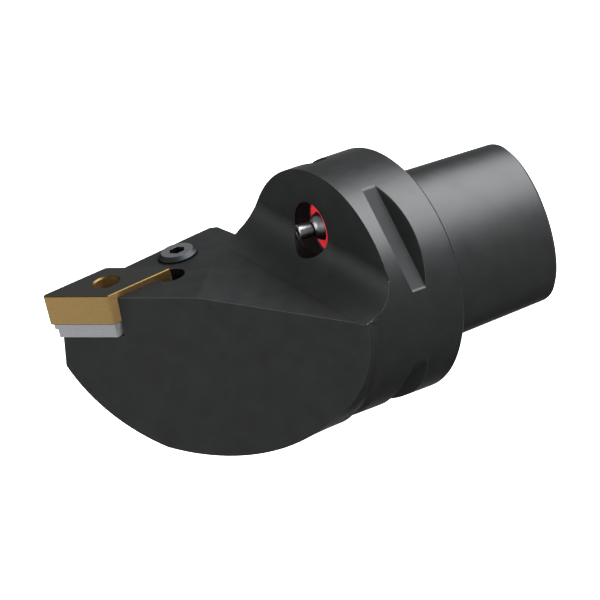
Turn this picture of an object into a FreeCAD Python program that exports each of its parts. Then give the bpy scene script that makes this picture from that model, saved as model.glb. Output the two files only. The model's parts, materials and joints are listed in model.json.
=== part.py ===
# Left-hand turning tool holder with a polygon taper shank and a lever-locked rhombic insert.
# Millimetres. +X runs along the tool axis to the cutting end, +Z is the rake side,
# and the origin is the centre of the flange's gauge face, where the shank meets it.
import FreeCAD
import Part
import math
import os

V = FreeCAD.Vector
X_AXIS = V(1, 0, 0)
ORIGIN = V(0, 0, 0)

# Polygon taper shank
SHANK_LENGTH = 30.0
SHANK_DIAMETER = 35.0       # mean diameter of the polygon at the gauge face
SHANK_LOBE = 1.12           # how far each of the three lobes stands out
SHANK_TAPER = 0.05          # loss of diameter per millimetre of length
SHANK_CHAMFER = 1.1
SHANK_POINTS = 24           # points that carry the polygon curve
LOBES = 3

# Hollow of the shank, from its mouth inwards
MOUTH_DIAMETER = 21.0
MOUTH_CHAMFER = 1.0
MOUTH_LENGTH = 14.0
CLAMP_GROOVE_DIAMETER = 24.2
CLAMP_GROOVE_WIDTH = 4.4
CLAMP_GROOVE_DEPTH = 4.8    # from the mouth to the groove's near wall
DRAWBOLT_CORE_DIAMETER = 17.84
DRAWBOLT_LENGTH = 15.0
CHAMBER_DIAMETER = 8.0
CHAMBER_LENGTH = 4.0

# Flange
FLANGE_DIAMETER = 50.0
FLANGE_LENGTH = 20.0
FLANGE_CHAMFER = 0.6
WAIST_START = 19.5          # shallow waist between the flange and the neck
WAIST_X = 20.9
WAIST_END = 22.8
WAIST_DEPTH = 0.4
NECK_DROP = 0.05            # the neck's radius under the flange's
SLOT_COUNT = 4              # gripper slots round the flange
SLOT_FLOOR = 22.3           # distance of a slot's floor from the axis
SLOT_FRONT = 11.7
SLOT_FLOOR_LENGTH = 3.1
SLOT_WALL_LEAN = 31.0       # degrees by which both end walls lean outwards
SLOT_FIRST_ANGLE = 43.5

# Head
HEAD_CENTRE_Y = -4.8        # the head is turned about a line beside the tool axis
HEAD_ROOT_RADIUS = 28.2
HEAD_ROOT_CHAMFER = 1.1
HEAD_WAIST_X = 33.0
HEAD_WAIST_RADIUS = 29.05
HEAD_CORNER_X = 46.0
HEAD_CORNER_RADIUS = 31.9
HEAD_TIP_RADIUS = 32.3
NECK_LENGTH = 10.0
SIDE_WALL_Y = -32.9
FLAT_ANGLE = 30.54          # turn of the big flat's normal from +X towards +Y
FLAT_SETBACK = 2.0          # the big flat lies this far behind the insert's end face
WALL_X = 16.2               # face cut across the upper half of the flange
FLOOR_Z = 4.25
DISH_RADIUS = 8.0
TOP_DROP = 1.2              # the head's top lies this far under the insert's top

# Insert and where its corner cuts
GAUGE_LENGTH = 60.0
GAUGE_OFFSET = 35.0
INSCRIBED_DIAMETER = 12.7
INSERT_ANGLE = 55.0
NOSE_RADIUS = 0.8
INSERT_THICKNESS = 6.35
INSERT_HOLE_DIAMETER = 5.16
INSERT_HOLE_FLARE = 0.3
LAND_WIDTH = 0.15
LEAD_ANGLE = 3.0
INCLINATION = 7.0
RAKE = 6.0

# Shim under the insert, with the slotted sleeve that holds it
SHIM_THICKNESS = 3.18
SHIM_INSET = 0.6
SHIM_STEP = 0.25
SHIM_RIM = 1.3
SHIM_HOLE_GAP = 0.05        # round the sleeve
POCKET_CLEARANCE = 0.02
CORNER_RELIEF_RADIUS = 3.0
CORNER_RELIEF_ALONG = 1.0   # from the insert's inner corner towards its nose
CORNER_RELIEF_ACROSS = 1.0
SLEEVE_DIAMETER = 6.4
SLEEVE_WALL = 0.7
SLEEVE_SLOT = 1.2
SLEEVE_GRIP = 3.2           # how deep the sleeve stands in the holder
SLEEVE_RECESS = 0.3         # the sleeve ends this far under the shim's top

# Lever and its screw
SCREW_DISTANCE = 16.63      # from the insert's centre to the screw's axis
SCREW_BEARING = 208.3       # degrees from the nose's direction, about the seat's upward axis
SCREW_DIAMETER = 8.0
SCREW_CHAMFER = 0.72
SCREW_CLEARANCE = 0.05
SCREW_NECK_DIAMETER = 4.6
SCREW_COLLAR_DIAMETER = 6.6
SCREW_COLLAR_LENGTH = 2.0
SCREW_SOCKET_WIDTH = 3.0
SCREW_SOCKET_DEPTH = 4.0
LEVER_WIDTH = 3.4
LEVER_THICKNESS = 3.0
LEVER_NOSE_RADIUS = 2.0
LEVER_NOSE_DEPTH = 3.8      # from the insert's top down to the bulge
LEVER_NOSE_LENGTH = 1.2
LEVER_GAP = 0.08            # between the bulge and the insert's hole
LEVER_SLOT_GAP = 0.4        # each side of the lever in its slot
LEVER_ELBOW_ROOM = 0.8      # behind the elbow, whose corners are square
LEVER_ARM_GAP = 1.1         # from the sleeve's end to the arm
LEVER_PLAY = 0.15           # above and below the arm in the screw's groove
LEVER_SEAT_GAP = 0.1        # under the elbow, which rocks on the slot's floor
SCREW_RUN_OUT = 1.0

# Coolant nozzle in the wall
NOZZLE_Y = -3.2
NOZZLE_Z = 12.4
NOZZLE_TURN = -13.1         # degrees from +X towards +Y
NOZZLE_DIP = 4.9            # degrees below the horizontal
NOZZLE_RECESS_RADIUS = 5.5
NOZZLE_RECESS_DEPTH = 2.0
RING_RADIUS = 4.8
RING_LENGTH = 2.6
RING_CLEARANCE = 0.03
BALL_RADIUS = 3.0
BALL_DEPTH = 0.85           # from the ring's front to the ball's centre
BALL_BACK = 2.3             # from the ball's centre to the flat behind it
BALL_CLEARANCE = 0.04
TUBE_RADIUS = 1.6
TUBE_BORE_RADIUS = 0.8
TUBE_REACH = 5.7            # from the ball's centre to the tube's end
SPIGOT_RADIUS = 1.25
TUBE_EDGE = 0.15
SEAL_RADIUS = 2.6
SEAL_SECTION_RADIUS = 0.7
SEAL_SIDES = 6              # the round section of the seal is drawn with flats
SEAL_GAP = 0.03
COOLANT_RADIUS = 2.0
SUPPLY_DEPTH = 10.0         # from the ring's front to the end of the drilling behind the seal

STOCK = 200.0               # larger than the whole tool, for cutting with half spaces


def insert_axes():
    """Directions of the seat: towards the nose, across, and up out of the seat."""
    lead = math.radians(LEAD_ANGLE)
    dip = math.radians(INCLINATION)
    rake = math.radians(RAKE)
    half = math.radians(INSERT_ANGLE / 2)
    edge = V(-math.cos(dip) * math.cos(lead), math.cos(dip) * math.sin(lead), math.sin(dip))
    level = V(math.sin(lead), math.cos(lead), 0)
    rise = V(math.sin(dip) * math.cos(lead), -math.sin(dip) * math.sin(lead), math.cos(dip))
    inward = level * math.cos(rake) + rise * math.sin(rake)
    up = rise * math.cos(rake) - level * math.sin(rake)
    to_nose = (edge * math.cos(half) + inward * math.sin(half)) * -1
    return to_nose, up.cross(to_nose), up


TO_NOSE, ACROSS, UP = insert_axes()
HALF_ANGLE = math.radians(INSERT_ANGLE / 2)
IN_RADIUS = INSCRIBED_DIAMETER / 2
HALF_LONG = IN_RADIUS / math.sin(HALF_ANGLE)
NOSE_TO_CENTRE = HALF_LONG - NOSE_RADIUS / math.sin(HALF_ANGLE)
NOSE_HEIGHT = -TO_NOSE.z * NOSE_RADIUS / math.sin(HALF_ANGLE)
NOSE_CENTRE = V(GAUGE_LENGTH - NOSE_RADIUS, NOSE_RADIUS - GAUGE_OFFSET, NOSE_HEIGHT)
SEAT_ORIGIN = NOSE_CENTRE - TO_NOSE * NOSE_TO_CENTRE
SEAT_DEPTH = INSERT_THICKNESS + SHIM_THICKNESS


def frame_placement(origin, x_dir, y_dir, z_dir):
    """Placement that carries local axes onto the three given directions."""
    matrix = FreeCAD.Matrix(x_dir.x, y_dir.x, z_dir.x, origin.x,
                            x_dir.y, y_dir.y, z_dir.y, origin.y,
                            x_dir.z, y_dir.z, z_dir.z, origin.z,
                            0, 0, 0, 1)
    return FreeCAD.Placement(matrix)


SEAT = frame_placement(SEAT_ORIGIN, TO_NOSE, ACROSS, UP)


def in_seat(x, y, z):
    """Point given in the seat's own axes, from the middle of the insert's top."""
    return SEAT.multVec(V(x, y, z))


def placed(shape, placement):
    """Copy of a shape, carried from local axes into the tool's."""
    result = shape.copy()
    result.Placement = placement.multiply(result.Placement)
    return result


def beyond(point, normal):
    """Everything on the far side of a plane, as one large block."""
    block = Part.makeBox(STOCK, STOCK, STOCK, V(-STOCK / 2, -STOCK / 2, 0))
    block.Placement = FreeCAD.Placement(point, FreeCAD.Rotation(V(0, 0, 1), normal))
    return block


def turned(points, centre=ORIGIN):
    """Body turned about a line along X, from points of (x, radius)."""
    outline = [V(x, centre.y, centre.z + r) for x, r in points]
    closed = [V(points[0][0], centre.y, centre.z)] + outline
    closed.append(V(points[-1][0], centre.y, centre.z))
    closed.append(closed[0])
    face = Part.Face(Part.makePolygon(closed))
    return face.revolve(centre, X_AXIS, 360)


def turned_upright(points):
    """Body turned about the local Z axis, from points of (radius, z)."""
    closed = [V(0, 0, points[0][1])] + [V(r, 0, z) for r, z in points]
    closed.append(V(0, 0, points[-1][1]))
    closed.append(closed[0])
    face = Part.Face(Part.makePolygon(closed))
    return face.revolve(ORIGIN, V(0, 0, 1), 360)


def rod(radius, low, high, x=0.0, y=0.0):
    """Upright cylinder between two heights."""
    return Part.makeCylinder(radius, high - low, V(x, y, low))


def rhombus_wire(inset, z):
    """Rounded rhombus of the insert, shrunk by an inset, at a height in seat axes."""
    radius = IN_RADIUS - inset
    nose = max(NOSE_RADIUS - inset, NOSE_RADIUS / 4)
    tips = [(0, radius / math.sin(HALF_ANGLE), HALF_ANGLE),
            (90, radius / math.cos(HALF_ANGLE), math.pi / 2 - HALF_ANGLE),
            (180, radius / math.sin(HALF_ANGLE), HALF_ANGLE),
            (270, radius / math.cos(HALF_ANGLE), math.pi / 2 - HALF_ANGLE)]
    arcs = []
    for turn, reach, half in tips:
        heading = math.radians(turn)
        centre = reach - nose / math.sin(half)
        opening = math.pi / 2 - half
        marks = []
        for swing in (-opening, 0, opening):
            angle = heading + swing
            marks.append(V(centre * math.cos(heading) + nose * math.cos(angle),
                           centre * math.sin(heading) + nose * math.sin(angle), z))
        arcs.append(marks)
    edges = []
    for k, marks in enumerate(arcs):
        following = arcs[(k + 1) % len(arcs)]
        edges.append(Part.Arc(*marks).toShape())
        edges.append(Part.makeLine(marks[2], following[0]))
    return Part.Wire(edges)


def rhombus_prism(low, high, inset=0.0):
    """Upright block with the insert's outline between two heights of the seat axes."""
    face = Part.Face(rhombus_wire(inset, low))
    return face.extrude(V(0, 0, high - low))


def polygon_wire(x, diameter):
    """Closed three-lobed curve of the shank at one place along it, one lobe up."""
    points = []
    for k in range(SHANK_POINTS):
        angle = 2 * math.pi * k / SHANK_POINTS
        support = diameter / 2 + SHANK_LOBE * math.cos(LOBES * angle)
        slope = -LOBES * SHANK_LOBE * math.sin(LOBES * angle)
        y = -(support * math.sin(angle) + slope * math.cos(angle))
        z = support * math.cos(angle) - slope * math.sin(angle)
        points.append(V(x, y, z))
    curve = Part.BSplineCurve()
    curve.interpolate(Points=points, PeriodicFlag=True)
    return Part.Wire(curve.toShape())


def shank():
    """Tapered polygon shank with its end chamfer."""
    straight = SHANK_LENGTH - SHANK_CHAMFER
    end_diameter = SHANK_DIAMETER - SHANK_TAPER * straight
    sections = [polygon_wire(0, SHANK_DIAMETER),
                polygon_wire(-straight, end_diameter),
                polygon_wire(-SHANK_LENGTH, end_diameter - 2 * SHANK_CHAMFER)]
    return Part.makeLoft(sections, True, True)


def shank_hollow():
    """Mouth, clamping groove, drawbolt bore and coolant chamber, along the axis."""
    mouth = MOUTH_DIAMETER / 2
    groove = CLAMP_GROOVE_DIAMETER / 2
    core = DRAWBOLT_CORE_DIAMETER / 2
    chamber = CHAMBER_DIAMETER / 2
    start = -SHANK_LENGTH
    groove_start = start + CLAMP_GROOVE_DEPTH
    groove_end = groove_start + CLAMP_GROOVE_WIDTH
    thread_start = start + MOUTH_LENGTH
    thread_end = thread_start + DRAWBOLT_LENGTH
    return turned([(start, mouth + MOUTH_CHAMFER),
                   (start + MOUTH_CHAMFER, mouth),
                   (groove_start, mouth),
                   (groove_start, groove),
                   (groove_end, groove),
                   (groove_end + groove - mouth, mouth),
                   (thread_start, mouth),
                   (thread_start, core),
                   (thread_end, core),
                   (thread_end, chamber),
                   (thread_end + CHAMBER_LENGTH, chamber)])


def flange():
    """Flange with the waist in front of it and the neck that carries the head."""
    radius = FLANGE_DIAMETER / 2
    return turned([(0, radius - FLANGE_CHAMFER),
                   (FLANGE_CHAMFER, radius),
                   (WAIST_START, radius),
                   (WAIST_X, radius - WAIST_DEPTH),
                   (WAIST_END, radius - NECK_DROP),
                   (FLANGE_LENGTH + NECK_LENGTH, radius - NECK_DROP)])


def gripper_slot(angle):
    """Cutter of one gripper slot, with a flat floor between two leaning walls."""
    width = FLANGE_DIAMETER
    top = FLANGE_DIAMETER - SLOT_FLOOR
    lean = (top - SLOT_FLOOR) * math.tan(math.radians(SLOT_WALL_LEAN))
    rear = SLOT_FRONT - SLOT_FLOOR_LENGTH
    profile = Part.makePolygon([V(SLOT_FRONT, 0, SLOT_FLOOR),
                                V(SLOT_FRONT + lean, 0, top),
                                V(rear - lean, 0, top),
                                V(rear, 0, SLOT_FLOOR),
                                V(SLOT_FRONT, 0, SLOT_FLOOR)])
    cutter = Part.Face(profile).extrude(V(0, width, 0))
    cutter.translate(V(0, -width / 2, 0))
    cutter.rotate(ORIGIN, X_AXIS, angle - 90)
    return cutter


def head_stock():
    """Off-centre turned stock of the head, before its flats are milled."""
    line = V(0, HEAD_CENTRE_Y, 0)
    tip = GAUGE_LENGTH + NOSE_RADIUS
    rim = V(FLANGE_LENGTH, HEAD_CENTRE_Y, HEAD_ROOT_RADIUS - HEAD_ROOT_CHAMFER)
    root = V(FLANGE_LENGTH + HEAD_ROOT_CHAMFER, HEAD_CENTRE_Y, HEAD_ROOT_RADIUS)
    waist = V(HEAD_WAIST_X, HEAD_CENTRE_Y, HEAD_WAIST_RADIUS)
    corner = V(HEAD_CORNER_X, HEAD_CENTRE_Y, HEAD_CORNER_RADIUS)
    end = V(tip, HEAD_CENTRE_Y, HEAD_TIP_RADIUS)
    end_axis = V(tip, HEAD_CENTRE_Y, 0)
    root_axis = V(FLANGE_LENGTH, HEAD_CENTRE_Y, 0)
    edges = [Part.Arc(root, waist, corner).toShape(),
             Part.makeLine(corner, end),
             Part.makeLine(end, end_axis),
             Part.makeLine(end_axis, root_axis),
             Part.makeLine(root_axis, rim),
             Part.makeLine(rim, root)]
    stock = Part.Face(Part.Wire(edges)).revolve(line, X_AXIS, 360)
    return stock.cut(beyond(V(0, SIDE_WALL_Y, 0), V(0, -1, 0)))


def flat_point():
    """A point of the big flat, set back from the insert's end face."""
    normal = flat_normal()
    corner = in_seat(HALF_LONG, 0, 0)
    return corner - normal * FLAT_SETBACK


def flat_normal():
    """Direction the big flat faces."""
    turn = math.radians(FLAT_ANGLE)
    return V(math.cos(turn), math.sin(turn), 0)


def dish():
    """Cutter over the floor and in front of the wall, with the radius between them."""
    corner = math.sqrt(0.5) * DISH_RADIUS
    tangent = V(WALL_X + DISH_RADIUS, 0, FLOOR_Z)
    middle = V(WALL_X + DISH_RADIUS - corner, 0, FLOOR_Z + DISH_RADIUS - corner)
    start = V(WALL_X, 0, FLOOR_Z + DISH_RADIUS)
    high = V(WALL_X, 0, STOCK / 2)
    far_high = V(STOCK / 2, 0, STOCK / 2)
    far = V(STOCK / 2, 0, FLOOR_Z)
    edges = [Part.makeLine(high, start),
             Part.Arc(start, middle, tangent).toShape(),
             Part.makeLine(tangent, far),
             Part.makeLine(far, far_high),
             Part.makeLine(far_high, high)]
    cutter = Part.Face(Part.Wire(edges)).extrude(V(0, STOCK, 0))
    cutter.translate(V(0, -STOCK / 2, 0))
    return cutter


def head_top():
    """Cutter over the head's top, which runs parallel to the seat."""
    cutter = beyond(in_seat(0, 0, -TOP_DROP), UP)
    return cutter.common(beyond(V(WALL_X, 0, 0), X_AXIS))


def insert_pocket():
    """Cutter of the pocket: two walls along the insert's inner edges, and a corner relief."""
    gap = POCKET_CLEARANCE / math.sin(HALF_ANGLE)
    inner = V(-HALF_LONG - gap, 0, -SEAT_DEPTH)
    reach = STOCK / 4
    ahead = reach * math.cos(HALF_ANGLE)
    aside = reach * math.sin(HALF_ANGLE)
    corners = [inner,
               inner + V(ahead, -aside, 0),
               inner + V(2 * ahead, 0, 0),
               inner + V(ahead, aside, 0),
               inner]
    sector = Part.Face(Part.makePolygon(corners)).extrude(V(0, 0, reach))
    relief = rod(CORNER_RELIEF_RADIUS, -SEAT_DEPTH, reach,
                 -HALF_LONG + CORNER_RELIEF_ALONG, CORNER_RELIEF_ACROSS)
    return placed(sector.fuse(relief), SEAT)


SLEEVE_END = SEAT_DEPTH + SLEEVE_GRIP
ARM_TOP = SLEEVE_END + LEVER_ARM_GAP
ARM_BOTTOM = ARM_TOP + LEVER_THICKNESS
GROOVE_TOP = ARM_TOP - LEVER_PLAY
GROOVE_BOTTOM = ARM_BOTTOM + LEVER_PLAY
SCREW_END = GROOVE_BOTTOM + SCREW_COLLAR_LENGTH
LEVER_LEG = INSERT_HOLE_DIAMETER / 2 - LEVER_GAP - LEVER_NOSE_RADIUS
LEVER_FRAME = SEAT.multiply(FreeCAD.Placement(ORIGIN, FreeCAD.Rotation(V(0, 0, 1), SCREW_BEARING)))


def lever_space():
    """Cutter for the lever, its screw and the shim's sleeve, in lever axes."""
    half = LEVER_WIDTH / 2 + LEVER_SLOT_GAP
    top = -SLEEVE_END
    bottom = -ARM_BOTTOM - LEVER_SEAT_GAP
    start = LEVER_LEG - LEVER_ELBOW_ROOM
    slot = Part.makeBox(SCREW_DISTANCE - start, 2 * half, top - bottom, V(start, -half, bottom))
    rounded = slot.fuse(rod(half, bottom, top, start, 0))
    sleeve_hole = rod(SLEEVE_DIAMETER / 2, top, 0)
    tapped = SCREW_DIAMETER / 2 + SCREW_CLEARANCE
    screw_hole = rod(tapped, -SCREW_END - SCREW_RUN_OUT, TOP_DROP, SCREW_DISTANCE, 0)
    return rounded.fuse([sleeve_hole, screw_hole])


def nozzle_placement():
    """Nozzle axes: local Z leaves the tool, local origin is the middle of the ring's front."""
    turn = math.radians(NOZZLE_TURN)
    dip = math.radians(NOZZLE_DIP)
    ahead = V(math.cos(dip) * math.cos(turn), math.cos(dip) * math.sin(turn), -math.sin(dip))
    mouth = V(WALL_X, NOZZLE_Y, NOZZLE_Z)
    side = V(0, 0, 1).cross(ahead)
    side.normalize()
    return frame_placement(mouth - ahead * NOZZLE_RECESS_DEPTH, side, ahead.cross(side), ahead)


NOZZLE = nozzle_placement()
SEAL_RISE = BALL_RADIUS + SEAL_SECTION_RADIUS + SEAL_GAP
SEAL_DEPTH = BALL_DEPTH + math.sqrt(SEAL_RISE ** 2 - SEAL_RADIUS ** 2)
SEAL_SEAT = SEAL_DEPTH + SEAL_SECTION_RADIUS


def nozzle_space():
    """Stepped bore of the nozzle and the two drillings that feed it."""
    seal_bore = SEAL_RADIUS + SEAL_SECTION_RADIUS
    ring_bore = RING_RADIUS + RING_CLEARANCE
    recess = rod(NOZZLE_RECESS_RADIUS, 0, FLANGE_LENGTH)
    ring_seat = rod(ring_bore, -RING_LENGTH, 0)
    seal_seat = rod(seal_bore, -SEAL_SEAT, 0)
    supply = rod(COOLANT_RADIUS, -SUPPLY_DEPTH, 0)
    bores = placed(recess.fuse([ring_seat, seal_seat, supply]), NOZZLE)
    meeting = NOZZLE.multVec(V(0, 0, COOLANT_RADIUS - SUPPLY_DEPTH))
    chamber_end = DRAWBOLT_LENGTH + MOUTH_LENGTH - SHANK_LENGTH + CHAMBER_LENGTH
    source = V(chamber_end - COOLANT_RADIUS, 0, 0)
    feed = meeting - source
    drilling = Part.makeCylinder(COOLANT_RADIUS, feed.Length, source, feed)
    return bores.fuse([drilling, Part.makeSphere(COOLANT_RADIUS, meeting)])


def holder_body():
    """The holder: shank, flange and head in one piece, with every cut."""
    stock = shank().fuse([flange(), head_stock()])
    flange_part = stock.cut(dish())
    levelled = flange_part.cut(head_top())
    faced = levelled.cut(beyond(flat_point(), flat_normal()))
    slots = [gripper_slot(SLOT_FIRST_ANGLE + 360.0 * k / SLOT_COUNT) for k in range(SLOT_COUNT)]
    cuts = slots + [shank_hollow(), insert_pocket(), placed(lever_space(), LEVER_FRAME)]
    body = faced.cut(cuts + [nozzle_space()])
    return body.removeSplitter()


def insert():
    """Double-sided rhombic insert with honed edges and a hole flared at both ends."""
    body = rhombus_prism(-INSERT_THICKNESS + LAND_WIDTH, -LAND_WIDTH)
    lands = []
    for edge, rim in ((0, -LAND_WIDTH), (-INSERT_THICKNESS, LAND_WIDTH - INSERT_THICKNESS)):
        wires = [rhombus_wire(0, rim), rhombus_wire(LAND_WIDTH, edge)]
        lands.append(Part.makeLoft(wires, True, True))
    blank = body.fuse(lands)
    hole = INSERT_HOLE_DIAMETER / 2
    flare = hole + INSERT_HOLE_FLARE
    low = -INSERT_THICKNESS
    bore = turned_upright([(flare, low),
                           (hole, low + INSERT_HOLE_FLARE),
                           (hole, -INSERT_HOLE_FLARE),
                           (flare, 0)])
    return placed(blank.cut(bore).removeSplitter(), SEAT)


def shim():
    """Carbide shim with the insert's outline, a stepped edge and a hole for the sleeve."""
    low = -SEAT_DEPTH
    high = -INSERT_THICKNESS
    rim = rhombus_prism(high - SHIM_RIM, high, SHIM_INSET)
    foot = rhombus_prism(low, high - SHIM_RIM, SHIM_INSET + SHIM_STEP)
    blank = rim.fuse(foot)
    hole = rod(SLEEVE_DIAMETER / 2 + SHIM_HOLE_GAP, low, high)
    return placed(blank.cut(hole).removeSplitter(), SEAT)


def shim_sleeve():
    """Slotted spring sleeve that stands in the holder and centres the shim."""
    low = -SLEEVE_END
    high = -INSERT_THICKNESS - SLEEVE_RECESS
    outer = SLEEVE_DIAMETER / 2
    tube = rod(outer, low, high).cut(rod(outer - SLEEVE_WALL, low, high))
    slot = Part.makeBox(SLEEVE_DIAMETER, SLEEVE_SLOT, high - low,
                        V(-SLEEVE_DIAMETER, -SLEEVE_SLOT / 2, low))
    return placed(tube.cut(slot), LEVER_FRAME)


def lever():
    """L-shaped lever: arm to the screw, rounded elbow, leg and bulged nose."""
    half = LEVER_WIDTH / 2
    leg_top = -LEVER_NOSE_DEPTH + LEVER_NOSE_LENGTH
    nose_low = -LEVER_NOSE_DEPTH - LEVER_NOSE_LENGTH
    leg = rod(half, -ARM_BOTTOM + LEVER_THICKNESS / 2, -LEVER_NOSE_DEPTH, LEVER_LEG, 0)
    slim = LEVER_NOSE_RADIUS - LEVER_NOSE_LENGTH / 2
    nose = turned_upright([(half, nose_low),
                           (LEVER_NOSE_RADIUS, -LEVER_NOSE_DEPTH - LEVER_NOSE_LENGTH / 3),
                           (LEVER_NOSE_RADIUS, -LEVER_NOSE_DEPTH + LEVER_NOSE_LENGTH / 3),
                           (slim, leg_top)])
    nose.translate(V(LEVER_LEG, 0, 0))
    arm_end = SCREW_DISTANCE - SCREW_NECK_DIAMETER / 2 - 2 * LEVER_PLAY
    arm = Part.makeBox(arm_end - LEVER_LEG, LEVER_WIDTH, LEVER_THICKNESS,
                       V(LEVER_LEG, -half, -ARM_BOTTOM))
    elbow = Part.makeCylinder(LEVER_THICKNESS / 2, LEVER_WIDTH,
                              V(LEVER_LEG, -half, -ARM_BOTTOM + LEVER_THICKNESS / 2), V(0, 1, 0))
    whole = leg.fuse([nose, arm, elbow])
    return placed(whole.removeSplitter(), LEVER_FRAME)


def lever_screw():
    """Screw with a hexagon socket, a groove for the lever's arm and a collar under it."""
    radius = SCREW_DIAMETER / 2
    neck = SCREW_NECK_DIAMETER / 2
    collar = SCREW_COLLAR_DIAMETER / 2
    chamfer = SCREW_CHAMFER
    shape = turned_upright([(collar, -SCREW_END),
                            (collar, -GROOVE_BOTTOM),
                            (neck, -GROOVE_BOTTOM),
                            (neck, -GROOVE_TOP),
                            (radius - chamfer, -GROOVE_TOP),
                            (radius, -GROOVE_TOP + chamfer),
                            (radius, -chamfer),
                            (radius - chamfer, 0)])
    across_corners = SCREW_SOCKET_WIDTH / math.cos(math.pi / 6)
    corners = []
    for k in range(7):
        angle = math.radians(60 * k)
        corners.append(V(across_corners / 2 * math.cos(angle),
                         across_corners / 2 * math.sin(angle), -SCREW_SOCKET_DEPTH))
    socket = Part.Face(Part.makePolygon(corners)).extrude(V(0, 0, SCREW_SOCKET_DEPTH))
    screw = shape.cut(socket)
    screw.translate(V(SCREW_DISTANCE, 0, 0))
    return placed(screw, LEVER_FRAME)


def nozzle_ring():
    """Threaded retaining ring with a spherical seat for the ball."""
    seat_radius = BALL_RADIUS + BALL_CLEARANCE
    ring = rod(RING_RADIUS, -RING_LENGTH, 0)
    ball_seat = Part.makeSphere(seat_radius, V(0, 0, -BALL_DEPTH))
    entry = rod(seat_radius, -RING_LENGTH, -BALL_DEPTH)
    return placed(ring.cut([ball_seat, entry]), NOZZLE)


def nozzle_ball():
    """Ball of the nozzle, bored through for the tube and flat behind."""
    ball = Part.makeSphere(BALL_RADIUS, V(0, 0, -BALL_DEPTH))
    back = V(0, 0, -BALL_DEPTH - BALL_BACK)
    bore = rod(SPIGOT_RADIUS, back.z, BALL_RADIUS)
    return placed(ball.cut([bore, beyond(back, V(0, 0, -1))]), NOZZLE)


def nozzle_tube():
    """Spout of the nozzle, with a thinner spigot pressed into the ball."""
    step = BALL_RADIUS - BALL_DEPTH
    end = TUBE_REACH - BALL_DEPTH
    back = -BALL_DEPTH - BALL_RADIUS / 2
    tube = turned_upright([(SPIGOT_RADIUS, back),
                           (SPIGOT_RADIUS, step),
                           (TUBE_RADIUS, step),
                           (TUBE_RADIUS, end - TUBE_EDGE),
                           (TUBE_RADIUS - TUBE_EDGE, end)])
    return placed(tube.cut(rod(TUBE_BORE_RADIUS, back, end)), NOZZLE)


def nozzle_seal():
    """O-ring behind the ball."""
    section = []
    for k in range(SEAL_SIDES + 1):
        angle = 2 * math.pi * k / SEAL_SIDES
        section.append(V(SEAL_RADIUS + SEAL_SECTION_RADIUS * math.cos(angle), 0,
                         SEAL_SECTION_RADIUS * math.sin(angle) - SEAL_DEPTH))
    ring = Part.Face(Part.makePolygon(section)).revolve(ORIGIN, V(0, 0, 1), 360)
    return placed(ring, NOZZLE)


PIECES = {
    "holder_body": holder_body,
    "insert": insert,
    "shim": shim,
    "shim_sleeve": shim_sleeve,
    "lever": lever,
    "lever_screw": lever_screw,
    "nozzle_ring": nozzle_ring,
    "nozzle_ball": nozzle_ball,
    "nozzle_tube": nozzle_tube,
    "nozzle_seal": nozzle_seal,
}

os.makedirs("parts", exist_ok=True)
for name, make in PIECES.items():
    shape = make()
    shape.exportStep("parts/" + name + ".step")
    print(name, len(shape.Solids), "solid", round(shape.Volume, 2), "mm3", shape.isValid())
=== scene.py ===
# Left-hand turning tool holder with a polygon taper shank, dressed for a catalogue photograph.
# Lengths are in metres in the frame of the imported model: +X towards the cutting end, +Z on the
# rake side, origin at the centre of the flange's gauge face.
import json
import math

import bmesh
import bpy
from bpy.props import FloatProperty, FloatVectorProperty, PointerProperty, StringProperty
from mathutils import Matrix, Vector


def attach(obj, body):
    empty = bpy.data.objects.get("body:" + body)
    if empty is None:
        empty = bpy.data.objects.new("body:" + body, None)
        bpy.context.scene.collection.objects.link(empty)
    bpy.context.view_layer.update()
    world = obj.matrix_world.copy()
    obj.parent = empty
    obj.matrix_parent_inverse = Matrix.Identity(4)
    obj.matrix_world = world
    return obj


bl_info = {
    "name": "Turning tool holder",
    "version": (1, 0, 0),
    "blender": (4, 5, 0),
    "location": "3D View > Sidebar > Tool holder",
    "description": "Finishes and studio for a polygon shank turning tool holder",
    "category": "Object",
}

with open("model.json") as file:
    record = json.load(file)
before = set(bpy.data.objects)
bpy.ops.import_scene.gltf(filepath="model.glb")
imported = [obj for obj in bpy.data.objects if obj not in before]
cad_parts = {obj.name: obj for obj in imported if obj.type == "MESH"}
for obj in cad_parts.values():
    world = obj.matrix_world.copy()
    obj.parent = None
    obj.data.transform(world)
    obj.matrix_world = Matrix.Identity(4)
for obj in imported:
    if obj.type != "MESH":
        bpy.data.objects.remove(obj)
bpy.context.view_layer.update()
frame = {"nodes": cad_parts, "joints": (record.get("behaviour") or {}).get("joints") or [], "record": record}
MM = 0.001

# Where the record puts what the scene builds on
MOUNTS = {mount["name"]: mount for mount in frame["record"]["mounts"]}
JOINTS = {joint["name"]: joint for joint in frame["joints"]}
SEAT_UP = Vector(JOINTS["insert_lift"]["axis"])
DRAWBOLT = MOUNTS["drawbolt_thread"]

# How little the metals shine at a glancing angle
EDGE_TINT = (0.45, 0.45, 0.45, 1.0)

# Where the rounded direction of an edge begins to get the painted edge highlight, and where it is all
# painted highlight
EDGE_TURN = (0.995, 0.86)

# Faces that meet at less than this many degrees are shaded as one
SHARP_ANGLE = 14
BODY_SHARP_ANGLE = 9

# A face's cosine to the seat's normal tells what it is: flank, bevel or face of the insert, and
# side or end of the screw. Each pair is where one gives way to the next.
BEVEL_COSINES = (0.15, 0.35)
FACE_COSINES = (0.86, 0.93)
END_COSINES = (0.93, 0.98)

# The gripper slots: how near the axis their milled faces begin, and their stretch along the axis
SLOT_SKIN = 24.8 * MM
SLOT_MIDDLE = 8.5 * MM
SLOT_REACH = 7.2 * MM
MILLED_ROUGHNESS = 0.72

# Turning lines of the body, drawn coarser than the real ones
TURNING_FEED = 0.25 * MM
WAVE_BANDS_PER_UNIT = 20

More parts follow.
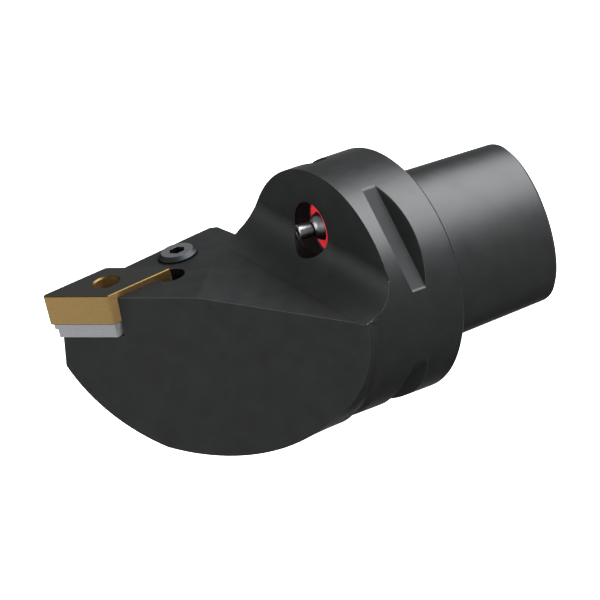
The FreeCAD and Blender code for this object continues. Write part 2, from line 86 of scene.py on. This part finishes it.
# Places along the axis, and how far the turned neck lies there under the flange's radius
NECK_MARKS = ((19.5 * MM, 0.0), (20.9 * MM, 0.4 * MM), (22.8 * MM, 0.05 * MM))

# Facets of the wall's root, and how deep its hidden corner lies in the solid
ROOT_STEPS = 36
ROOT_COLUMNS = 72
ROOT_SUNK = 0.1 * MM

# Each light's name, its place from the aimed point, its size and the setting that holds its power
LIGHTS = (("overhead_softbox", (-0.5, 0.15, 0.85), 0.95, "key_power"),
          ("front_fill", (0.675, 0.495, 0.315), 0.6, "fill_power"),
          ("end_fill", (0.95, -0.3, 0.05), 0.6, "end_power"))
FLOOR_SIZE = 8
FLOOR_GLOW = 0.55
WHITE = (1, 1, 1, 1)


def linear(code):
    """Linear colour of an sRGB hex value, with alpha."""
    channels = [int(code[k:k + 2], 16) / 255 for k in (1, 3, 5)]
    spread = [c / 12.92 if c <= 0.04045 else ((c + 0.055) / 1.055) ** 2.4 for c in channels]
    return (*spread, 1.0)


def add(tree, kind, settings=None, links=None):
    """Adds a node; settings are its own values or its inputs' defaults, links feed its inputs."""
    node = tree.nodes.new(kind)
    for name, value in (settings or {}).items():
        if isinstance(name, str) and hasattr(node, name):
            setattr(node, name, value)
        else:
            node.inputs[name].default_value = value
    for name, source in (links or {}).items():
        tree.links.new(source, node.inputs[name])
    return node


def start_material(name, settings):
    """New material with one Principled shader and the point and direction it is drawn from."""
    material = bpy.data.materials.new(name)
    material.use_nodes = True
    tree = material.node_tree
    tree.nodes.clear()
    shader = add(tree, "ShaderNodeBsdfPrincipled", settings)
    add(tree, "ShaderNodeOutputMaterial", links={"Surface": shader.outputs["BSDF"]})
    place = add(tree, "ShaderNodeTexCoord")
    return material, tree, shader, place


def edge_light(tree, reach):
    """How far a point gets the painted edge highlight: the rounded direction turned from the flat one."""
    rounded = add(tree, "ShaderNodeBevel", {"samples": 8, "Radius": reach})
    plain = add(tree, "ShaderNodeNewGeometry")
    match = add(tree, "ShaderNodeVectorMath", {"operation": "DOT_PRODUCT"},
                {0: rounded.outputs["Normal"], 1: plain.outputs["Normal"]})
    highlight_mask = add(tree, "ShaderNodeMapRange", {"From Min": EDGE_TURN[0], "From Max": EDGE_TURN[1]},
               {"Value": match.outputs["Value"]})
    return highlight_mask.outputs["Result"], rounded.outputs["Normal"]


def black_oxide_steel(look, name="black_oxide_steel", edge_highlights=True):
    """Hardened steel, ground, turned and milled, then blackened in a hot salt bath.

    A near-black satin: faint mottling from the bath, fine turning lines along the axis, edges
    lightened a little as a painted highlight, and milled slots more matt than the turned flange round them.
    """
    material, tree, shader, place = start_material(
        name, {"Metallic": 0.8, "Specular IOR Level": 0.0, "Specular Tint": EDGE_TINT})
    bath = add(tree, "ShaderNodeTexNoise", {"Scale": 1 / (4 * MM), "Detail": 5.0, "Roughness": 0.6},
               {"Vector": place.outputs["Object"]})
    tone = add(tree, "ShaderNodeMix", {"data_type": "RGBA", 6: linear(look.body_dark),
                                       7: linear(look.body_light)}, {0: bath.outputs["Fac"]})
    tree.links.new(tone.outputs[2], shader.inputs["Base Color"])
    haze = add(tree, "ShaderNodeMapRange", {"To Min": 0.38, "To Max": 0.46},
               {"Value": bath.outputs["Fac"]})
    at = add(tree, "ShaderNodeSeparateXYZ", links={"Vector": place.outputs["Object"]})
    across = add(tree, "ShaderNodeCombineXYZ", links={"Y": at.outputs["Y"], "Z": at.outputs["Z"]})
    from_axis = add(tree, "ShaderNodeVectorMath", {"operation": "LENGTH"},
                    {0: across.outputs["Vector"]})
    sunk = add(tree, "ShaderNodeMath", {"operation": "LESS_THAN", 1: SLOT_SKIN},
               {0: from_axis.outputs["Value"]})
    along = add(tree, "ShaderNodeMath", {"operation": "COMPARE", 1: SLOT_MIDDLE, 2: SLOT_REACH},
                {0: at.outputs["X"]})
    milled = add(tree, "ShaderNodeMath", {"operation": "MULTIPLY"},
                 {0: sunk.outputs["Value"], 1: along.outputs["Value"]})
    gloss = add(tree, "ShaderNodeMix", {3: MILLED_ROUGHNESS}, {
        0: milled.outputs["Value"], 2: haze.outputs["Result"]})
    tree.links.new(gloss.outputs[0], shader.inputs["Roughness"])
    lines = add(tree, "ShaderNodeTexWave",
                {"wave_type": "BANDS", "bands_direction": "X", "Distortion": 0.6, "Detail": 2.0,
                 "Scale": 1 / TURNING_FEED / WAVE_BANDS_PER_UNIT},
                {"Vector": place.outputs["Object"]})
    relief = add(tree, "ShaderNodeBump", {"Strength": 0.05, "Distance": 0.01 * MM},
                 {"Height": lines.outputs["Fac"]})
    tree.links.new(relief.outputs["Normal"], shader.inputs["Normal"])
    # Painted highlight: the edges take a lighter colour where the rounded normal turns from the flat one
    if edge_highlights:
        highlight_mask, rounded = edge_light(tree, 0.12 * MM)
        highlighted_tone = add(tree, "ShaderNodeMix", {"data_type": "RGBA", 7: linear(look.body_edge_highlight)},
                     {0: highlight_mask, 6: tone.outputs[2]})
        tree.links.new(highlighted_tone.outputs[2], shader.inputs["Base Color"])
        tree.links.new(rounded, relief.inputs["Normal"])
    return material


def coated_carbide(look):
    """Cemented carbide with a gold coating, brushed off its two faces.

    The flanks and the hole stay warm gold, the ground faces are dark grey, and the bevels
    between them carry a painted shade, darker than the flanks, standing in for the whole overhead light they
    throw back.
    """
    material, tree, shader, place = start_material(
        "coated_carbide", {"Metallic": 1.0, "Specular Tint": EDGE_TINT})
    facing = add(tree, "ShaderNodeVectorMath", {"operation": "DOT_PRODUCT", 1: tuple(SEAT_UP)},
                 {0: place.outputs["Normal"]})
    size = add(tree, "ShaderNodeMath", {"operation": "ABSOLUTE"}, {0: facing.outputs["Value"]})
    face = add(tree, "ShaderNodeMapRange",
               {"From Min": FACE_COSINES[0], "From Max": FACE_COSINES[1]},
               {"Value": size.outputs["Value"]})
    grain = add(tree, "ShaderNodeTexNoise", {"Scale": 1 / (0.5 * MM), "Detail": 4.0},
                {"Vector": place.outputs["Object"]})
    gold = add(tree, "ShaderNodeMix", {"data_type": "RGBA", 6: linear(look.coat_dark),
                                       7: linear(look.coat_light)}, {0: grain.outputs["Fac"]})
    # Painted shade: the bevels between flanks and faces are coloured darker than the gold
    bevel = add(tree, "ShaderNodeMapRange",
                {"From Min": BEVEL_COSINES[0], "From Max": BEVEL_COSINES[1]},
                {"Value": size.outputs["Value"]})
    shaded_bevels = add(tree, "ShaderNodeMix", {"data_type": "RGBA", 7: linear(look.coat_bevel_shade)},
                {0: bevel.outputs["Result"], 6: gold.outputs[2]})
    body = add(tree, "ShaderNodeMix", {"data_type": "RGBA", 7: linear(look.coat_face)},
               {0: face.outputs["Result"], 6: shaded_bevels.outputs[2]})
    tree.links.new(body.outputs[2], shader.inputs["Base Color"])
    haze = add(tree, "ShaderNodeMapRange", {"To Min": 0.34, "To Max": 0.44},
               {"Value": grain.outputs["Fac"]})
    tree.links.new(haze.outputs["Result"], shader.inputs["Roughness"])
    relief = add(tree, "ShaderNodeBump", {"Strength": 0.08, "Distance": 0.01 * MM},
                 {"Height": grain.outputs["Fac"]})
    tree.links.new(relief.outputs["Normal"], shader.inputs["Normal"])
    return material


def plain_finish(name, dark, light, grain_size, roughness, metallic, edge=None, bump=0.06,
                 end=None):
    """Material of one surface whose tone and gloss wander a little over a grain.

    Its edges can take a painted highlight colour, and its end face, square to the seat's normal, a colour of
    its own.
    """
    material, tree, shader, place = start_material(
        name, {"Metallic": metallic, "Specular Tint": EDGE_TINT})
    grain = add(tree, "ShaderNodeTexNoise", {"Scale": 1 / grain_size, "Detail": 4.0},
                {"Vector": place.outputs["Object"]})
    tone = add(tree, "ShaderNodeMix", {"data_type": "RGBA", 6: linear(dark), 7: linear(light)},
               {0: grain.outputs["Fac"]})
    colour = tone.outputs[2]
    highlight_mask, rounded = edge_light(tree, 0.08 * MM)
    # The end face, square to the seat's normal, takes the lighter colour given as end
    if end:
        facing = add(tree, "ShaderNodeVectorMath", {"operation": "DOT_PRODUCT", 1: tuple(SEAT_UP)},
                     {0: place.outputs["Normal"]})
        ground = add(tree, "ShaderNodeMapRange",
                     {"From Min": END_COSINES[0], "From Max": END_COSINES[1]},
                     {"Value": facing.outputs["Value"]})
        colour = add(tree, "ShaderNodeMix", {"data_type": "RGBA", 7: linear(end)},
                     {0: ground.outputs["Result"], 6: colour}).outputs[2]
    # Painted highlight: the edges lightened in colour
    if edge:
        colour = add(tree, "ShaderNodeMix", {"data_type": "RGBA", 7: linear(edge)},
                     {0: highlight_mask, 6: colour}).outputs[2]
    tree.links.new(colour, shader.inputs["Base Color"])
    haze = add(tree, "ShaderNodeMapRange", {"To Min": roughness * 0.85, "To Max": roughness * 1.15},
               {"Value": grain.outputs["Fac"]})
    tree.links.new(haze.outputs["Result"], shader.inputs["Roughness"])
    relief = add(tree, "ShaderNodeBump", {"Strength": bump, "Distance": 0.01 * MM},
                 {"Height": grain.outputs["Fac"], "Normal": rounded})
    tree.links.new(relief.outputs["Normal"], shader.inputs["Normal"])
    return material


def bare_carbide(look):
    """Sintered carbide, ground and uncoated: an even, slightly cool light grey."""
    return plain_finish("bare_carbide", look.shim_dark, look.shim_light, 0.4 * MM, 0.45, 0.8)


def spring_steel():
    """Hardened spring steel as tempered: dull dark grey with a brown cast, its edges lighter as a painted
    highlight.
    """
    return plain_finish("spring_steel", "#3b3a39", "#4a4846", 0.8 * MM, 0.42, 0.8, "#7d7c7a")


def phosphated_screw_steel(look):
    """Hardened screw, phosphated dark and dull, its end face, square to the seat's normal, a lighter grey,
    and its edges lighter as a painted highlight.
    """
    return plain_finish("phosphated_screw_steel", look.screw_dark, look.screw_light, 0.6 * MM,
                        0.5, 1.0, look.screw_edge_highlight, end=look.screw_end)


def red_anodised_aluminium(look):
    """Turned aluminium ring, dyed red in the anodising bath: an even, slightly glossy red."""
    return plain_finish("red_anodised_aluminium", look.ring_dark, look.ring_light, 1.0 * MM,
                        0.34, 0.25)


def polished_stainless_steel():
    """Stainless steel, turned fine and polished: soft bright reflections."""
    return plain_finish("polished_stainless_steel", "#636465", "#727374", 0.7 * MM, 0.34, 1.0,
                        bump=0.03)


def ground_ball_steel():
    """Bearing steel of the nozzle's ball, ground and a little duller than the tube."""
    return plain_finish("ground_ball_steel", "#4d4e4f", "#5c5d5e", 0.5 * MM, 0.32, 1.0)


def nitrile_rubber():
    """Moulded nitrile rubber: black and dull."""
    return plain_finish("nitrile_rubber", "#151515", "#1c1c1c", 0.3 * MM, 0.6, 0.0)


def set_inputs(modifier, values):
    """Sets a Geometry Nodes modifier's inputs, which are given by their names."""
    for item in modifier.node_group.interface.items_tree:
        if item.in_out == "INPUT" and item.name in values:
            modifier[item.identifier] = values[item.name]


def dress(node_name, material, sharpest=SHARP_ANGLE):
    """Gives a node its finish and smooth shading up to an angle, in degrees, between faces."""
    piece = frame["nodes"][node_name]
    piece.data.materials.clear()
    piece.data.materials.append(material)
    joined = piece.modifiers.new("joined_facets", "NODES")
    joined.node_group = facet_joiner()
    set_inputs(joined, {"Sharp Angle": math.radians(sharpest)})


def start_tree(name, inputs):
    """New Geometry Nodes tree with its inputs, and the node that gives them."""
    tree = bpy.data.node_groups.new(name, "GeometryNodeTree")
    for label, kind, default in inputs:
        socket = tree.interface.new_socket(label, in_out="INPUT", socket_type="NodeSocket" + kind)
        if default is not None:
            socket.default_value = default
    tree.interface.new_socket("Geometry", in_out="OUTPUT", socket_type="NodeSocketGeometry")
    return tree, add(tree, "NodeGroupInput").outputs


def end_tree(tree, geometry, steel):
    """Makes a tree's result real, gives it its steel and hands it out."""
    real = add(tree, "GeometryNodeRealizeInstances", links={"Geometry": geometry})
    cover = add(tree, "GeometryNodeSetMaterial", {"Material": steel},
                {"Geometry": real.outputs["Geometry"]})
    add(tree, "NodeGroupOutput", links={"Geometry": cover.outputs["Geometry"]})
    return tree


def facet_joiner():
    """Geometry Nodes tree that welds a node's loose facets and shades them smooth up to an angle."""
    name = "weld_and_smooth"
    if name in bpy.data.node_groups:
        return bpy.data.node_groups[name]
    tree, given = start_tree(name, (("Geometry", "Geometry", None),
                                    ("Weld Distance", "Float", 0.001 * MM),
                                    ("Sharp Angle", "Float", math.radians(SHARP_ANGLE))))
    joined = add(tree, "GeometryNodeMergeByDistance", links={
        "Geometry": given["Geometry"], "Distance": given["Weld Distance"]})
    angle = add(tree, "GeometryNodeInputMeshEdgeAngle")
    gentle = add(tree, "FunctionNodeCompare", {"data_type": "FLOAT", "operation": "LESS_THAN"},
                 {0: angle.outputs["Unsigned Angle"], 1: given["Sharp Angle"]})
    faces = add(tree, "GeometryNodeSetShadeSmooth", {"domain": "FACE", "Shade Smooth": True},
                {"Geometry": joined.outputs["Geometry"]})
    edges = add(tree, "GeometryNodeSetShadeSmooth", {"domain": "EDGE"},
                {"Geometry": faces.outputs["Geometry"], "Shade Smooth": gentle.outputs["Result"]})
    add(tree, "NodeGroupOutput", links={"Geometry": edges.outputs["Geometry"]})
    return tree


def thread_tree(steel):
    """Geometry Nodes tree of a helical thread ridge with a triangular section."""
    tree, given = start_tree("helical_thread", (("Radius", "Float", None), ("Pitch", "Float", None),
                                                ("Length", "Float", None), ("Ridge", "Float", None)))
    turns = add(tree, "ShaderNodeMath", {"operation": "DIVIDE"},
                {0: given["Length"], 1: given["Pitch"]})
    helix = add(tree, "GeometryNodeCurveSpiral", {"Resolution": 48}, {
        "Rotations": turns.outputs["Value"], "Start Radius": given["Radius"],
        "End Radius": given["Radius"], "Height": given["Length"]})
    section = add(tree, "GeometryNodeCurvePrimitiveCircle", {"Resolution": 3},
                  {"Radius": given["Ridge"]})
    ridge = add(tree, "GeometryNodeCurveToMesh", {"Fill Caps": True},
                {"Curve": helix.outputs["Curve"], "Profile Curve": section.outputs["Curve"]})
    return end_tree(tree, ridge.outputs["Mesh"], steel)


def bored_tree(steel):
    """Geometry Nodes tree that bores a slanting hole through a mesh and shades what is left."""
    tree, given = start_tree("bored_through", (
        ("Geometry", "Geometry", None), ("Bore Radius", "Float", None),
        ("Bore Length", "Float", None), ("Bore Place", "Vector", None),
        ("Bore Turn", "Vector", None)))
    rod = add(tree, "GeometryNodeMeshCylinder", {"Vertices": 96}, {
        "Radius": given["Bore Radius"], "Depth": given["Bore Length"]})
    aimed = add(tree, "GeometryNodeTransform", links={
        "Geometry": rod.outputs["Mesh"], "Translation": given["Bore Place"],
        "Rotation": given["Bore Turn"]})
    bored = add(tree, "GeometryNodeMeshBoolean", {"operation": "DIFFERENCE", "solver": "EXACT"}, {
        "Mesh 1": given["Geometry"], "Mesh 2": aimed.outputs["Geometry"]})
    shaded = add(tree, "GeometryNodeGroup", {"node_tree": facet_joiner()}, {
        "Geometry": bored.outputs["Mesh"]})
    return end_tree(tree, shaded.outputs["Geometry"], steel)


def flange_radius_at(sizes, x):
    """Radius of the flange and the neck in front of it at one place along the axis."""
    drop = NECK_MARKS[0][1]
    for (x0, drop0), (x1, drop1) in zip(NECK_MARKS, NECK_MARKS[1:]):
        if x > x0:
            drop = drop0 + (drop1 - drop0) * (min(x, x1) - x0) / (x1 - x0)
    return sizes.flange_radius - drop


def wall_root_mesh(sizes):
    """Closed fillet between the wall and the floor, as wide as the flange at each height."""
    middle_x = sizes.wall_x + sizes.root_radius
    middle_z = sizes.floor_height + sizes.root_radius
    radius = sizes.root_radius - sizes.root_proud
    angles = [math.pi / 2 * k / ROOT_STEPS for k in range(ROOT_STEPS + 1)]
    outline = [(middle_x - radius * math.cos(a), middle_z - radius * math.sin(a)) for a in angles]
    outline.append((sizes.wall_x - ROOT_SUNK, sizes.floor_height - ROOT_SUNK))
    solid = bmesh.new()
    rows = []
    for x, z in outline:
        reach = math.sqrt(flange_radius_at(sizes, x) ** 2 - z ** 2) - sizes.root_proud
        rows.append([solid.verts.new((x, reach * (2 * j / ROOT_COLUMNS - 1), z))
                     for j in range(ROOT_COLUMNS + 1)])
    for near, far in zip(rows, rows[1:] + rows[:1]):
        for j in range(ROOT_COLUMNS):
            solid.faces.new((near[j], near[j + 1], far[j + 1], far[j]))
    for end in (0, ROOT_COLUMNS):
        solid.faces.new([row[end] for row in rows])
    bmesh.ops.recalc_face_normals(solid, faces=solid.faces)
    mesh = bpy.data.meshes.new("wall_root")
    solid.to_mesh(mesh)
    solid.free()
    return mesh


def made_by(tree, name, values, place=Matrix(), stock=None):
    """Plain mesh piece from a Geometry Nodes tree, with its place in its mesh."""
    carrier = bpy.data.objects.new(name + "_maker", stock or bpy.data.meshes.new(name + "_maker"))
    bpy.context.scene.collection.objects.link(carrier)
    maker = carrier.modifiers.new("maker", "NODES")
    maker.node_group = tree
    set_inputs(maker, values)
    bpy.context.view_layer.update()
    shown = carrier.evaluated_get(bpy.context.evaluated_depsgraph_get())
    mesh = bpy.data.meshes.new_from_object(shown)
    mesh.name = name
    bpy.data.objects.remove(carrier)
    mesh.transform(place)
    piece = bpy.data.objects.new(name, mesh)
    bpy.context.scene.collection.objects.link(piece)
    return piece


class HolderLook(bpy.types.PropertyGroup):
    """Colours of the holder's finishes, as sRGB hex values."""

    body_dark: StringProperty(name="Body, dark", description="Darker tone of the black oxide",
                              default="#212122")
    body_light: StringProperty(name="Body, light", description="Lighter tone of the black oxide",
                               default="#292a2a")
    # Painted highlight colour of the body's edges
    body_edge_highlight: StringProperty(name="Body, edges", description="Rubbed edges of the body",
                              default="#48494b")
    coat_dark: StringProperty(name="Coating, dark", description="Darker tone of the gold coating",
                              default="#7d6640")
    coat_light: StringProperty(name="Coating, light", description="Lighter tone of the coating",
                               default="#8f774e")
    coat_face: StringProperty(name="Insert faces", description="Ground faces of the insert",
                              default="#363735")
    # Painted shade on the insert's bevels
    coat_bevel_shade: StringProperty(name="Insert bevels", description="Honed bevels of the insert",
                              default="#352a16")
    shim_dark: StringProperty(name="Shim, dark", description="Darker tone of the shim",
                              default="#717274")
    shim_light: StringProperty(name="Shim, light", description="Lighter tone of the shim",
                               default="#7e7f81")
    screw_dark: StringProperty(name="Screw, dark", description="Darker tone of the screw",
                               default="#191b1c")
    screw_light: StringProperty(name="Screw, light", description="Lighter tone of the screw",
                                default="#212325")
    # Painted highlight colour of the screw's edges
    screw_edge_highlight: StringProperty(name="Screw, edges", description="Rubbed edges of the screw",
                               default="#4a4b4d")
    # Lighter colour of the screw's end face, square to the seat's normal
    screw_end: StringProperty(name="Screw, end", description="Ground end face of the screw",
                              default="#4b4c4e")
    ring_dark: StringProperty(name="Ring, dark", description="Darker tone of the red ring",
                              default="#cf2530")
    ring_light: StringProperty(name="Ring, light", description="Lighter tone of the red ring",
                               default="#e4343f")


class HolderSizes(bpy.types.PropertyGroup):
    """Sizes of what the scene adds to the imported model."""

    thread_pitch: FloatProperty(name="Drawbolt pitch", description="Pitch of the drawbolt thread",
                                default=2 * MM, min=0.5 * MM, max=4 * MM, unit="LENGTH")
    thread_ridge: FloatProperty(name="Thread ridge", description="Half height of a thread ridge",
                                default=0.45 * MM, min=0.1 * MM, max=1 * MM, unit="LENGTH")
    flange_radius: FloatProperty(name="Flange radius", description="Radius of the flange",
                                 default=25 * MM, unit="LENGTH")
    wall_x: FloatProperty(name="Wall", description="Place of the wall across the flange",
                          default=16.2 * MM, unit="LENGTH")
    floor_height: FloatProperty(name="Floor height", description="Height of the milled floor",
                                default=4.25 * MM, unit="LENGTH")
    root_radius: FloatProperty(name="Root radius", description="Radius between wall and floor",
                               default=8 * MM, unit="LENGTH")
    root_proud: FloatProperty(name="Root cover", description="How far the root lies on the solid",
                              default=0.03 * MM, unit="LENGTH")
    recess_radius: FloatProperty(name="Nozzle recess", description="Radius of the nozzle's recess",
                                 default=5.5 * MM, unit="LENGTH")
    nozzle_dip: FloatProperty(name="Nozzle dip", description="How far the nozzle points down",
                              default=math.radians(4.9), subtype="ANGLE")


class StudioSettings(bpy.types.PropertyGroup):
    """Camera and light of the studio."""

    azimuth: FloatProperty(name="Azimuth", description="Turn of the camera from +X towards +Y",
                           default=math.radians(56.472), subtype="ANGLE")
    elevation: FloatProperty(name="Elevation", description="Height of the camera over the floor",
                             default=math.radians(26.276), subtype="ANGLE")
    roll: FloatProperty(name="Roll", description="Turn of the camera about its own view",
                        default=math.radians(-3.306), subtype="ANGLE")
    distance: FloatProperty(name="Distance", description="From the aimed point to the camera",
                            default=0.6982, unit="LENGTH")
    aim: FloatVectorProperty(name="Aim", description="Point in the middle of the picture",
                             default=(0.016533, -0.008040, -0.004921), subtype="TRANSLATION")
    focal_length: FloatProperty(name="Focal length", description="Lens, in millimetres",
                                default=210.0)
    floor_drop: FloatProperty(name="Floor", description="Height of the floor under the axis",
                              default=-0.17, unit="LENGTH")
    key_power: FloatProperty(name="Key light", description="Power of the softbox overhead",
                             default=75.0)
    fill_power: FloatProperty(name="Fill light", description="Power of the wide front light",
                              default=2.0)
    end_power: FloatProperty(name="End light", description="Power of the light at the cutting end",
                             default=12.0)
    world_level: FloatProperty(name="Ambient", description="Strength of the surrounding light",
                               default=0.5)


class HOLDER_OT_finish_body(bpy.types.Operator):
    """Blackens the holder's body"""

    bl_idname = "holder.finish_body"
    bl_label = "Finish the body"

    def execute(self, context):
        dress("holder_body", black_oxide_steel(context.scene.holder_look), BODY_SHARP_ANGLE)
        return {"FINISHED"}


class HOLDER_OT_finish_insert(bpy.types.Operator):
    """Coats the insert and leaves its shim bare"""

    bl_idname = "holder.finish_insert"
    bl_label = "Finish the insert and shim"

    def execute(self, context):
        look = context.scene.holder_look
        dress("insert", coated_carbide(look))
        dress("shim", bare_carbide(look))
        return {"FINISHED"}


class HOLDER_OT_finish_clamp(bpy.types.Operator):
    """Finishes the lever, its screw and the shim's sleeve"""

    bl_idname = "holder.finish_clamp"
    bl_label = "Finish the lever clamp"

    def execute(self, context):
        look = context.scene.holder_look
        spring = spring_steel()
        dress("lever", spring)
        dress("shim_sleeve", spring)
        dress("lever_screw", phosphated_screw_steel(look))
        return {"FINISHED"}


class HOLDER_OT_finish_nozzle(bpy.types.Operator):
    """Finishes the coolant nozzle: ring, ball, tube and seal"""

    bl_idname = "holder.finish_nozzle"
    bl_label = "Finish the coolant nozzle"

    def execute(self, context):
        look = context.scene.holder_look
        dress("nozzle_ring", red_anodised_aluminium(look))
        dress("nozzle_ball", ground_ball_steel())
        dress("nozzle_tube", polished_stainless_steel())
        dress("nozzle_seal", nitrile_rubber())
        return {"FINISHED"}


class HOLDER_OT_cut_thread(bpy.types.Operator):
    """Adds the drawbolt thread in the shank's bore"""

    bl_idname = "holder.cut_thread"
    bl_label = "Cut the drawbolt thread"

    def execute(self, context):
        sizes = context.scene.holder_sizes
        steel = frame["nodes"]["holder_body"].data.materials[0]
        radius = DRAWBOLT["dims"]["r_mm"] * MM
        length = DRAWBOLT["dims"]["length_mm"] * MM
        run = length - 2 * sizes.thread_pitch
        middle = Vector(DRAWBOLT["pos_m"])
        start = middle - Vector((run / 2, 0, 0))
        place = Matrix.Translation(start) @ Matrix.Rotation(math.pi / 2, 4, "Y")
        values = {"Radius": radius, "Pitch": sizes.thread_pitch, "Length": run,
                  "Ridge": sizes.thread_ridge}
        thread = made_by(thread_tree(steel), "drawbolt_thread_ridge", values, place)
        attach(thread, "holder")
        return {"FINISHED"}


class HOLDER_OT_round_wall_root(bpy.types.Operator):
    """Rounds the root of the wall, where the solid stops short of it"""

    bl_idname = "holder.round_wall_root"
    bl_label = "Round the wall's root"

    def execute(self, context):
        sizes = context.scene.holder_sizes
        steel = black_oxide_steel(context.scene.holder_look, "black_oxide_steel_root",
                                  edge_highlights=False)
        ball = JOINTS["nozzle_tilt"]
        level = Vector(ball["axis"]).cross(Vector((0, 0, 1)))
        aim = level * math.cos(sizes.nozzle_dip) - Vector((0, 0, math.sin(sizes.nozzle_dip)))
        values = {"Bore Radius": sizes.recess_radius, "Bore Length": 4 * sizes.recess_radius,
                  "Bore Place": Vector(ball["pos_m"]),
                  "Bore Turn": Vector(aim.to_track_quat("Z", "Y").to_euler())}
        root = made_by(bored_tree(steel), "wall_root_fillet", values, stock=wall_root_mesh(sizes))
        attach(root, "holder")
        return {"FINISHED"}


def soft_light(name, place, target, size, power):
    """Square area light that faces a point."""
    lamp = bpy.data.lights.new(name, "AREA")
    lamp.size = size
    lamp.energy = power
    light = bpy.data.objects.new(name, lamp)
    light.location = place
    light.rotation_euler = (target - place).to_track_quat("-Z", "Y").to_euler()
    bpy.context.scene.collection.objects.link(light)


def white_surround(level):
    """World that lights the part at a plain level and shows white behind it and in its gloss."""
    world = bpy.data.worlds.new("white_surround")
    world.use_nodes = True
    tree = world.node_tree
    tree.nodes.clear()
    path = add(tree, "ShaderNodeLightPath")
    seen = add(tree, "ShaderNodeMath", {"operation": "MAXIMUM"},
               {0: path.outputs["Is Camera Ray"], 1: path.outputs["Is Glossy Ray"]})
    shown = add(tree, "ShaderNodeMath", {"operation": "MAXIMUM"},
                {0: seen.outputs["Value"], 1: path.outputs["Is Transmission Ray"]})
    plain = add(tree, "ShaderNodeBackground", {"Color": WHITE, "Strength": level})
    white = add(tree, "ShaderNodeBackground", {"Color": WHITE, "Strength": 1.0})
    both = add(tree, "ShaderNodeMixShader", links={
        0: shown.outputs["Value"], 1: plain.outputs["Background"], 2: white.outputs["Background"]})
    add(tree, "ShaderNodeOutputWorld", links={"Surface": both.outputs["Shader"]})
    bpy.context.scene.world = world


def floor_material():
    """Matt white studio floor that shows as the white background and keeps a soft shadow."""
    material, tree, shader, place = start_material("matt_white_floor", {"Roughness": 0.9})
    grain = add(tree, "ShaderNodeTexNoise", {"Scale": 1 / (30 * MM), "Detail": 3.0},
                {"Vector": place.outputs["Object"]})
    tone = add(tree, "ShaderNodeMix", {"data_type": "RGBA", 6: linear("#f7f7f7"),
                                       7: linear("#fbfbfb")}, {0: grain.outputs["Fac"]})
    tree.links.new(tone.outputs[2], shader.inputs["Base Color"])
    path = add(tree, "ShaderNodeLightPath")
    glow = add(tree, "ShaderNodeEmission", {"Color": WHITE, "Strength": 1.0})
    mirrored = add(tree, "ShaderNodeMath", {"operation": "MAXIMUM"}, {
        0: path.outputs["Is Glossy Ray"], 1: path.outputs["Is Transmission Ray"]})
    share = add(tree, "ShaderNodeMath",
                {"operation": "MULTIPLY_ADD", "use_clamp": True, 1: FLOOR_GLOW},
                {0: path.outputs["Is Camera Ray"], 2: mirrored.outputs["Value"]})
    both = add(tree, "ShaderNodeMixShader", links={
        0: share.outputs["Value"], 1: shader.outputs["BSDF"], 2: glow.outputs["Emission"]})
    output = next(node for node in tree.nodes if node.type == "OUTPUT_MATERIAL")
    tree.links.new(both.outputs["Shader"], output.inputs["Surface"])
    return material


def camera_axes(studio):
    """The camera's right, up and back directions."""
    turn, lift, roll = studio.azimuth, studio.elevation, studio.roll
    back = Vector((math.cos(lift) * math.cos(turn), math.cos(lift) * math.sin(turn), math.sin(lift)))
    level = Vector((-math.sin(turn), math.cos(turn), 0))
    rise = back.cross(level)
    right = level * math.cos(roll) + rise * math.sin(roll)
    up = rise * math.cos(roll) - level * math.sin(roll)
    return right, up, back


class HOLDER_OT_set_stage(bpy.types.Operator):
    """Lays the floor, hangs the lights and sets the camera"""

    bl_idname = "holder.set_stage"
    bl_label = "Set the stage"

    def execute(self, context):
        studio = context.scene.holder_studio
        right, up, back = camera_axes(studio)
        aim = Vector(studio.aim)
        lens = bpy.data.cameras.new("product_camera")
        lens.lens = studio.focal_length
        camera = bpy.data.objects.new("product_camera", lens)
        camera.matrix_world = Matrix.Translation(aim + back * studio.distance) @ Matrix(
            (right, up, back)).transposed().to_4x4()
        context.scene.collection.objects.link(camera)
        context.scene.camera = camera

        bpy.ops.mesh.primitive_plane_add(size=FLOOR_SIZE, location=(0, 0, studio.floor_drop))
        ground = context.object
        ground.name = "studio_floor"
        ground.data.materials.append(floor_material())

        for name, offset, size, setting in LIGHTS:
            soft_light(name, aim + Vector(offset), aim, size, getattr(studio, setting))
        white_surround(studio.world_level)
        context.scene.view_settings.view_transform = "Standard"
        return {"FINISHED"}


OPERATORS = (HOLDER_OT_finish_body, HOLDER_OT_finish_insert, HOLDER_OT_finish_clamp,
             HOLDER_OT_finish_nozzle, HOLDER_OT_cut_thread, HOLDER_OT_round_wall_root,
             HOLDER_OT_set_stage)


class HOLDER_PT_panel(bpy.types.Panel):
    """Sidebar panel with the holder's steps"""

    bl_idname = "HOLDER_PT_panel"
    bl_label = "Turning tool holder"
    bl_space_type = "VIEW_3D"
    bl_region_type = "UI"
    bl_category = "Tool holder"

    def draw(self, context):
        for group in (context.scene.holder_look, context.scene.holder_sizes,
                      context.scene.holder_studio):
            box = self.layout.box()
            for name in group.__annotations__:
                box.prop(group, name)
        for operator in OPERATORS:
            self.layout.operator(operator.bl_idname)


CLASSES = (HolderLook, HolderSizes, StudioSettings) + OPERATORS + (HOLDER_PT_panel,)


def register():
    for cls in CLASSES:
        bpy.utils.register_class(cls)
    bpy.types.Scene.holder_look = PointerProperty(type=HolderLook)
    bpy.types.Scene.holder_sizes = PointerProperty(type=HolderSizes)
    bpy.types.Scene.holder_studio = PointerProperty(type=StudioSettings)


def unregister():
    del bpy.types.Scene.holder_studio
    del bpy.types.Scene.holder_sizes
    del bpy.types.Scene.holder_look
    for cls in reversed(CLASSES):
        bpy.utils.unregister_class(cls)


def main():
    register()
    for operator in OPERATORS:
        family, action = operator.bl_idname.split(".")
        getattr(getattr(bpy.ops, family), action)()
    bpy.context.view_layer.update()


if __name__ == "__main__":
    main()
